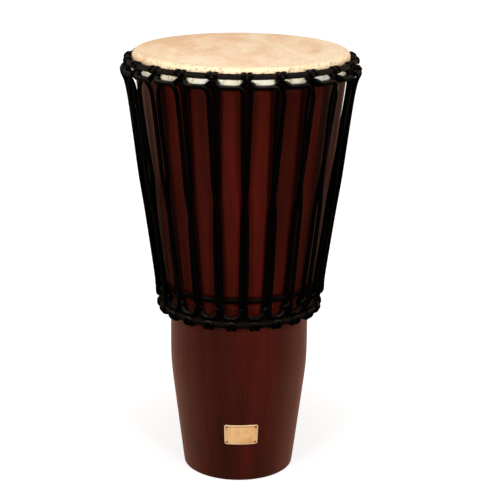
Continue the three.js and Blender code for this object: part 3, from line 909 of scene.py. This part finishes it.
def kept_uv(geometry, across, along, name):
    """A mesh with a UV map from two values."""
    pair = add_node(geometry.id_data, "ShaderNodeCombineXYZ", {"X": along, "Y": across}).outputs[0]
    return stored(geometry, name, pair, "FLOAT2", "CORNER")


wrap_tree, given, end = new_tree("lapped_cloth_wrap", {
    "Ring Radius": "Float",
    "Ring Height": "Float",
    "Wrap Radius": "Float",
    "Turns": "Int",
    "Lap Depth": "Float",
    "Sides": "Int",
    "Steps": "Int",
    "Finish": "Material",
})
ring_line = round_line(wrap_tree, given["Ring Radius"], given["Steps"], "along")
ring_section = round_line(wrap_tree, given["Wrap Radius"], given["Sides"], "around")
wound = add_node(wrap_tree, "GeometryNodeCurveToMesh", {0: ring_line, 1: ring_section}).outputs[0]
lap_count = times(named(wrap_tree, "along"), given["Turns"])
lap_phase = work("FRACT", work("ADD", lap_count, named(wrap_tree, "around")))
crumple_values = {"Scale": crumple_scale, "Detail": 2.0}
crumple = add_node(wrap_tree, "ShaderNodeTexNoise", crumple_values).outputs["Fac"]
lap_height = work("ADD", lap_phase, times(crumple, crumple_share))
lap_push = times(work("SUBTRACT", lap_height, lap_middle), given["Lap Depth"])
wound = pushed_out(wound, lap_push)
lay_along = times(joined_share(wrap_tree, "along"), given["Turns"])
wound = kept_uv(wound, joined_share(wrap_tree, "around"), lay_along, "cloth_lay")
ring_lift = add_node(wrap_tree, "ShaderNodeCombineXYZ", {"Z": given["Ring Height"]}).outputs[0]
lifted = add_node(wrap_tree, "GeometryNodeTransform", {"Geometry": wound, "Translation": ring_lift})
close_tree(lifted.outputs[0], given["Finish"], end)

cotton, tree, shader = new_finish("dark_cotton_wrap")
lay = add_node(tree, "ShaderNodeUVMap", uv_map="cloth_lay").outputs[0]
lay_parts = parts(lay)
slant = work("ADD", lay_parts["X"], lay_parts["Y"])
warp = work("SINE", times(slant, 2 * math.pi * warp_threads))
weft_rise = times(lay_parts["Y"], weft_threads)
weft_turn = work("SUBTRACT", weft_rise, times(slant, weft_lean))
weft = work("SINE", times(weft_turn, 2 * math.pi))
weave = between(times(warp, weft), -1.0, 1.0)
lap_edge = between(work("FRACT", slant), 0.0, lap_edge_share)
worn = grain(stretched(tree), 120, 4.0)
thread = shades(weave, [(0.2, paint(12, 8, 5)), (0.8, paint(24, 16, 10))])
thread = mixed(between(worn, 0.5, 0.72, 0.0, 0.5), thread, paint(35, 24, 16))
thread = mixed(work("SUBTRACT", 1.0, lap_edge), thread, paint(10, 6, 5))
cloth_height = parts(stretched(tree))["Z"]
# Painted shade: the underside of the bottom wrap is darker and less glossy.
underside_shade = between(cloth_height, *underside_shade_heights, 0.8, 0.0)
give(shader, {
    "Base Color": mixed(underside_shade, thread, paint(4, 3, 3)),
    "Roughness": between(worn, 0.3, 0.7, 0.74, 0.9),
    "Specular IOR Level": between(cloth_height, *underside_shade_heights, 0.02, 0.12),
})
relief(shader, work("ADD", weave, times(worn, 0.6)), 0.0002, 0.7)


def wound_ring(name, node, body, ring_radius, ring_height, wrap_radius):
    """A cloth wrap round one of the rings."""
    carrier = in_scene(name + "_line", bpy.data.meshes.new(name + "_line"))
    turns = round(2 * math.pi * ring_radius / wrap_lap_width)
    piece = grown(name, carrier, wrap_tree, {
        "Ring Radius": ring_radius,
        "Ring Height": ring_height,
        "Wrap Radius": wrap_radius,
        "Turns": turns,
        "Lap Depth": wrap_lap_depth,
        "Sides": wrap_sides,
        "Steps": turns * wrap_steps_per_turn,
        "Finish": cotton,
    })
    if body == "crown":
        tilted(piece)
    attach(piece, body)
    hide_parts(node)


crown_ring_line = (crown_ring_radius, crown_ring_height)
bottom_ring_line = (bottom_ring_radius, bottom_ring_height)
wound_ring("crown_cloth_wrap", "crown_ring_wrap", "crown", *crown_ring_line, crown_wrap_radius)
wound_ring("bottom_cloth_wrap", "bottom_ring_wrap", "drum_body", *bottom_ring_line, bottom_wrap_radius)

# Crown hitch rope: one black braided rope that ties a row of cow hitches on the crown ring. Each hitch
# goes round the ring twice and is locked by its crossbar, and its legs spread to the cord bars below.
rope_radius = 0.0030
hitch_clearance = 0.0001
crown_press = (0.42, 0.32)
press_angles = (-85, 235)
press_fades = (25, 35)
waist_half = 0.0029
crown_turns = (0.0042, 0.0049)
foot_spread = 0.0102
cord_bar_radius = 0.1588
cord_bar_height = 0.5881
crown_waist_radius = 0.1572
crown_waist_height = 0.5950
back_hitch = 11
braid_columns = 8
braid_stitch = 0.0024
braid_relief = 0.00016
braid_middle = 0.6
tie_light_cut = (0.004, 0.008)
hitch_step = 0.0009
hitch_sides = 16
hitch_curve_steps = 6


def braid_height(along, around):
    """The relief of a round braid, from 0 in its gaps to 1 on its strands, by place on the rope."""
    column_place = times(around, braid_columns)
    across = work("FRACT", column_place)
    odd = work("MODULO", work("FLOOR", column_place), 2.0)
    lean = work("SUBTRACT", times(odd, 2.0), 1.0)
    slanted = times(work("SUBTRACT", across, 0.5), lean)
    stitches = work("DIVIDE", along, braid_stitch)
    phase = work("MULTIPLY_ADD", odd, 0.5, work("ADD", stitches, slanted))
    stitch = work("SINE", times(work("FRACT", phase), math.pi))
    column = work("SINE", times(across, math.pi))
    return times(stitch, work("POWER", column, 0.5))


rope_tree, given, end = new_tree("braided_rope", {
    "Rope Radius": "Float",
    "Step": "Float",
    "Sides": "Int",
    "Relief": "Float",
    "Finish": "Material",
})
rope_values = {"Curve": given["Geometry"], "Length": given["Step"]}
rope_line = add_node(rope_tree, "GeometryNodeResampleCurve", rope_values, mode="LENGTH").outputs[0]
rope_length = add_node(rope_tree, "GeometryNodeSplineParameter").outputs["Length"]
rope_line = stored(rope_line, "along", rope_length)
rope_section = round_line(rope_tree, given["Rope Radius"], given["Sides"], "around")
tube_lines = {0: rope_line, 1: rope_section, "Fill Caps": True}
tube = add_node(rope_tree, "GeometryNodeCurveToMesh", tube_lines).outputs[0]
tube_along = named(rope_tree, "along")
tube_braid = braid_height(tube_along, named(rope_tree, "around"))
tube_push = times(work("SUBTRACT", tube_braid, braid_middle), given["Relief"])
tube = pushed_out(tube, tube_push)
tube_normal = add_node(rope_tree, "GeometryNodeInputNormal").outputs[0]
tube = stored(tube, "upper_side", parts(tube_normal)["Z"])
tube = kept_uv(tube, joined_share(rope_tree, "around"), tube_along, "rope_lay")
close_tree(tube, given["Finish"], end)

black_rope, tree, shader = new_finish("black_braided_rope")
rope_lay = add_node(tree, "ShaderNodeUVMap", uv_map="rope_lay").outputs[0]
rope_parts = parts(rope_lay)
braid = braid_height(rope_parts["X"], rope_parts["Y"])
fibre_lay = add_node(tree, "ShaderNodeMapping", {"Vector": rope_lay, "Scale": (900, 60, 1)})
fibres = grain(fibre_lay.outputs[0], 1.0, 3.0)
top_light_noise = grain(stretched(tree), 45, 3.0)
# The braid's gaps are painted darker than its strands, as painted shade in the recesses.
yarn = shades(braid, [(0.15, paint(0, 0, 0)), (0.85, paint(5, 4, 3))])
yarn = mixed(between(fibres, 0.45, 0.75, 0.0, 0.4), yarn, paint(9, 8, 7))
# Painted highlight: the upward-facing sides of the braid's strands are lighter, in patches, and much less
# so on the tie rope.
faces_up = between(point_value(tree, "upper_side"), 0.25, 0.95)
painted_top_light = times(faces_up, between(top_light_noise, 0.3, 0.6, 0.35, 1.0))
rope_height = parts(stretched(tree))["Z"]
off_tie = work("ABSOLUTE", work("SUBTRACT", rope_height, tie_height))
painted_top_light = times(painted_top_light, between(off_tie, *tie_light_cut, 0.3, 1.0))
painted_top_light = times(painted_top_light, between(braid, 0.1, 0.7))
give(shader, {
    "Base Color": mixed(painted_top_light, yarn, paint(62, 59, 54)),
    "Roughness": between(fibres, 0.3, 0.7, 0.45, 0.65),
    "IOR": 1.05,
})
relief(shader, work("ADD", braid, times(fibres, 0.25)), 0.0003, 0.8)


def smooth_run(points, steps):
    """An even curve through points, with steps pieces between two of them."""
    ends = [points[0] * 2 - points[1], *points, points[-1] * 2 - points[-2]]
    run = []
    for before, here, onward, after in zip(ends, ends[1:], ends[2:], ends[3:]):
        for step in range(steps):
            far = step / steps
            curve = (
                here * 2
                + (onward - before) * far
                + (before * 2 - here * 5 + onward * 4 - after) * far ** 2
                + (here * 3 - before - onward * 3 + after) * far ** 3
            )
            run.append(curve / 2)
    run.append(points[-1])
    return run


def rope_piece(name, run, step, sides, relief_depth, radius=rope_radius):
    """A braided rope along a run of points."""
    curve = bpy.data.curves.new(name + "_line", "CURVE")
    curve.dimensions = "3D"
    spline = curve.splines.new("POLY")
    spline.points.add(len(run) - 1)
    for entry, place in zip(spline.points, run):
        entry.co = (*place, 1)
    return grown(name, in_scene(name + "_line", curve), rope_tree, {
        "Rope Radius": radius,
        "Step": step,
        "Sides": sides,
        "Relief": relief_depth,
        "Finish": black_rope,
    })


def hitch_half(ring_radius, ring_height, hitch_reach, turns, leg, down):
    """Half a hitch from its foot to the middle of its crossbar, as (across, radius, height)."""
    points = [*leg]
    hitch_top_half, crossbar_half = turns
    way_round = [
        (215, waist_half),
        (180, waist_half + 0.2 * (hitch_top_half - waist_half)),
        (135, waist_half + 0.6 * (hitch_top_half - waist_half)),
        (90, hitch_top_half),
        (50, hitch_top_half + 0.5 * (crossbar_half - hitch_top_half)),
        (15, crossbar_half),
        (-10, crossbar_half * 0.92),
        (-25, crossbar_half * 0.55),
        (-29, 0),
    ]
    for degrees, across in way_round:
        angle = math.radians(degrees)
        radius = ring_radius + hitch_reach * math.cos(angle)
        points.append((across, radius, ring_height + down * hitch_reach * math.sin(angle)))
    return points


def hitch_run(half, ring_radius, first_angle):
    """The whole rope of hitches, one after the other round the ring from the one at the back."""
    other = [(-across, radius, height) for across, radius, height in half]
    run = []
    for turn in range(hitch_count):
        angle = first_angle + (back_hitch + turn) * hitch_pitch
        for across, radius, height in other + half[-2::-1]:
            run.append(on_drum(angle + across / ring_radius, radius, height))
    return smooth_run(run + run[:2], hitch_curve_steps)


def pressed(piece, ring_radius, ring_height, wrap_radius, press, down):
    """Flattens a hitch rope on its ring by a share at the front and one at the back, but not its legs."""
    for vertex in piece.data.vertices:
        reach = math.hypot(vertex.co.x, vertex.co.y)
        out = reach - ring_radius
        rise = down * (vertex.co.z - ring_height)
        off_ring = math.hypot(out, rise) - wrap_radius
        turn = (math.degrees(math.atan2(rise, out)) + 90) % 360 - 90
        starting = min(1, max(0, (turn - press_angles[0]) / press_fades[0]))
        share = starting * min(1, max(0, (press_angles[1] - turn) / press_fades[1]))
        if off_ring < 0 or off_ring > 3 * rope_radius or share == 0:
            continue
        backward = 0.5 + 0.5 * vertex.co.y / reach
        flat = press[0] + (press[1] - press[0]) * backward
        kept = (wrap_radius + off_ring * (1 - share * (1 - flat))) / (wrap_radius + off_ring)
        new_reach = ring_radius + out * kept
        vertex.co.x *= new_reach / reach
        vertex.co.y *= new_reach / reach
        vertex.co.z = ring_height + down * rise * kept


crown_leg = [
    (foot_spread, cord_bar_radius, cord_bar_height),
    (0.0072, 0.1593, 0.5897),
    (0.0045, 0.1592, 0.5920),
    (waist_half, crown_waist_radius, crown_waist_height),
]
crown_reach = crown_wrap_radius + rope_radius + hitch_clearance
crown_half = hitch_half(*crown_ring_line, crown_reach, crown_turns, crown_leg, 1)
crown_run = hitch_run(crown_half, crown_ring_radius, first_hitch)
crown_rope = rope_piece("crown_hitches", crown_run, hitch_step, hitch_sides, braid_relief)
pressed(crown_rope, *crown_ring_line, crown_wrap_radius, crown_press, 1)
tilted(crown_rope)
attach(crown_rope, "crown")
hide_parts("crown_hitch_rope")

# Bottom hitch rope: a slightly thicker rope of the same kind, tied in the same way on the bottom ring,
# upside down, so that its loops stand up between the hitches and catch the lacing. The hitches bite
# into the thick cloth.
bottom_rope_radius = 0.0034
bottom_press = (0.85, 0.85)
bottom_turns = (0.0035, 0.0041)
bottom_seat_radius = 0.0034
loop_apex_rise = 0.0217
loop_apex_half = 0.0032
apex_radius = 0.1128
apex_height = bottom_ring_height + loop_apex_rise
apex_across = hitch_pitch * bottom_ring_radius / 2 - loop_apex_half * bottom_ring_radius / apex_radius
bottom_leg = [
    (apex_across, apex_radius, apex_height),
    (0.0139, 0.1130, 0.2668),
    (0.0110, 0.1132, 0.2614),
    (0.0058, 0.1126, 0.2570),
    (waist_half, 0.1090, 0.2556),
]
bottom_reach = bottom_seat_radius + bottom_rope_radius + hitch_clearance
bottom_half = hitch_half(*bottom_ring_line, bottom_reach, bottom_turns, bottom_leg, -1)
bottom_run = hitch_run(bottom_half, bottom_ring_radius, first_hitch + hitch_pitch / 2)
bottom_rope = rope_piece(
    "bottom_hitches", bottom_run, hitch_step, hitch_sides, braid_relief, bottom_rope_radius
)
pressed(bottom_rope, *bottom_ring_line, bottom_seat_radius, bottom_press, -1)
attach(bottom_rope, "drum_body")
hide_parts("bottom_hitch_rope")

# Tie rope: one turn of the crown's kind of rope round the foot of the bowl, behind the lacing, which
# holds the lacing strands off the shell. It is closed at the back.
tie_steps = 176
tie_radius = shell_radius_at(tie_height) + rope_radius
tie_knot_angle = first_hitch + (back_hitch - 0.5) * hitch_pitch
tie_run = [
    on_drum(tie_knot_angle + 2 * math.pi * step / tie_steps, tie_radius, tie_height)
    for step in range(tie_steps + 1)
]
tie_rope = rope_piece("tie_round_bowl", tie_run, hitch_step, hitch_sides, braid_relief)
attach(tie_rope, "drum_body")
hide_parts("tie_rope")

# Lacing: one long run of the crown's kind of rope that zigzags between its cord bars and the bottom
# loops. Pulling it down brings the crown down and the head up to pitch.
lace_pitch = 2 * rope_radius
lace_top_half = 0.0056
lace_end_half = 0.0052
lace_foot_half = 0.0029
lace_heights = [
    (0.300, -0.0036, 0.0004, -0.0036),
    (0.345, -0.0035, 0.0004, -0.0034),
    (0.385, -0.0031, 0.0006, -0.0036),
    (0.412, -0.0022, 0.0010, -0.0042),
    (0.432, 0.0, 0.0012, -0.0044),
    (0.452, 0.0022, 0.0010, -0.0042),
    (0.480, 0.0029, 0.0006, -0.0034),
    (0.512, 0.0037, 0.0002, -0.0020),
    (0.550, 0.0046, 0.0, -0.0012),
]
lace_shift = 0.022
lace_sway = 0.0011
apex_inside = 0.0057
bar_pitch = hitch_pitch * crown_ring_radius
lace_step = 0.0022
lace_sides = 12
lace_curve_steps = 8
lace_join = 7
lace_still = tie_height + 0.02
lace_tilted = cord_bar_height - 0.008
lace_low = (0.1176, 0.274)
lace_high = (0.1587, 0.580)
lace_crossing = (tie_radius + lace_pitch, tie_height)
lace_under_apex = [
    (1.0, 1.1, 2.0),
    (1.0, 1.0, -0.2),
    (0.7, 0.6, -0.85),
    (0.0, 0.0, -1.05),
    (-0.7, -0.7, -0.7),
]
lace_up_inside = [(0.0, -0.0028, -0.0160), (0.0002, -0.9 * lace_pitch, -0.0048)]
lace_over_bar = [(165, 0.0006, 0.85), (110, 0.0013, 0.88), (60, 0.0026, 0.92), (22, 0.0046, 0.94)]
lace_along_bar = (0.92 * lace_pitch, 0.0012)
lace_down_outside = [
    (-0.0052, *lace_along_bar),
    (-0.0013, 0.8 * lace_pitch, -0.0030),
    (0.0, 0.4 * lace_pitch, -0.0078),
    (0.0003, -0.0004, -0.0170),
]


def lace_strand(angle, side, outside):
    """A strand of a column on its way up, from its own side of the loop across the other strand."""
    points = []
    for step, (height, half, outer, inner) in enumerate(lace_heights):
        middle = math.sin(math.pi * step / (len(lace_heights) - 1))
        height += lace_shift * middle * noise.noise(Vector((angle * 3, 1, 4)))
        sway = lace_sway * middle * noise.noise(Vector((angle * 3, height * 9, 8)))
        share = (height - lace_low[1]) / (lace_high[1] - lace_low[1])
        radius = lace_low[0] + (lace_high[0] - lace_low[0]) * share + (outer if outside else inner)
        points.append(on_drum(angle + (side * half + sway) / radius, radius, height))
    return points


def lace_column(angle):
    """The lacing at a bottom loop: down outside its apex, under it, up inside, over the tie rope."""
    inside = apex_radius - apex_inside
    path = [
        (lace_foot_half * across, apex_radius + lace_pitch * out, apex_height + lace_pitch * up)
        for across, out, up in lace_under_apex
    ]
    path += [
        (-lace_foot_half, inside, apex_height),
        (-lace_foot_half, (inside + lace_crossing[0]) / 2, (apex_height + tie_height) / 2),
        (-lace_foot_half, *lace_crossing),
    ]
    return [
        *reversed(lace_strand(angle, -1, True)),
        *[on_drum(angle + across / apex_radius, radius, height) for across, radius, height in path],
        *lace_strand(angle, 1, False),
    ]


def lace_bar(angle):
    """The lacing at a cord bar: up inside it, over it, along its outside and down to the next column."""
    rising = [*lace_up_inside]
    for degrees, across, reach in lace_over_bar:
        turn = math.radians(degrees)
        rising.append((across, lace_pitch * reach * math.cos(turn), lace_pitch * reach * math.sin(turn)))
    rising.append((0.0085, *lace_along_bar))
    lace_end = bar_pitch - lace_end_half
    path = [
        *[(lace_top_half + across, out, up) for across, out, up in rising],
        (bar_pitch / 2, *lace_along_bar),
        *[(lace_end + across, out, up) for across, out, up in lace_down_outside],
    ]
    return [
        on_drum(angle + across / crown_ring_radius, cord_bar_radius + out, cord_bar_height + up)
        for across, out, up in path
    ]


lace_points = []
for turn in range(hitch_count):
    lace_angle = first_hitch + (back_hitch + turn) * hitch_pitch
    lace_points += lace_bar(lace_angle)
    lace_points += lace_column(lace_angle + hitch_pitch)
lace_points = lace_points[lace_join:] + lace_points[:lace_join + 1]
lace_run = smooth_run(lace_points, lace_curve_steps)
lacing = rope_piece("lacing", lace_run, lace_step, lace_sides, 0.0)
tilted(lacing, lace_still, lace_tilted)
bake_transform(lacing)
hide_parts("lacing_rope")

# Knots: each rope is closed at the back by a tight whipping of thin black twine over its two ends, so
# that no end is loose. Those of the crown's hitches and of the lacing move with the crown.
twine_radius = 0.0006
whipping_length = 0.0078
whipping_turns = 7
whipping_steps = 14
twine_step = 0.0005
twine_sides = 8
twine_sink = 0.7


def whipping(name, node, body, run):
    """Turns of twine round a rope, over the place where its two ends meet."""
    centre = run[-1]
    axis = (run[-1] - run[-3]).normalized()
    side = axis.orthogonal().normalized()
    other = axis.cross(side)
    coil = []
    count = whipping_turns * whipping_steps
    for step in range(count + 1):
        turn = 2 * math.pi * step / whipping_steps
        spoke = side * math.cos(turn) + other * math.sin(turn)
        along = whipping_length * (step / count - 0.5)
        coil.append(centre + axis * along + spoke * (rope_radius + twine_radius * twine_sink))
    piece = rope_piece(name, coil, twine_step, twine_sides, 0.0, twine_radius)
    if body == "crown":
        tilted(piece)
    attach(piece, body)
    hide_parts(node)


whipping("crown_rope_whipping", "crown_hitch_knot", "crown", crown_run)
whipping("lacing_whipping", "lacing_knot", "crown", lace_run)
whipping("tie_whipping", "tie_rope_knot", "drum_body", tie_run)
whipping("bottom_rope_whipping", "bottom_hitch_knot", "drum_body", bottom_run)
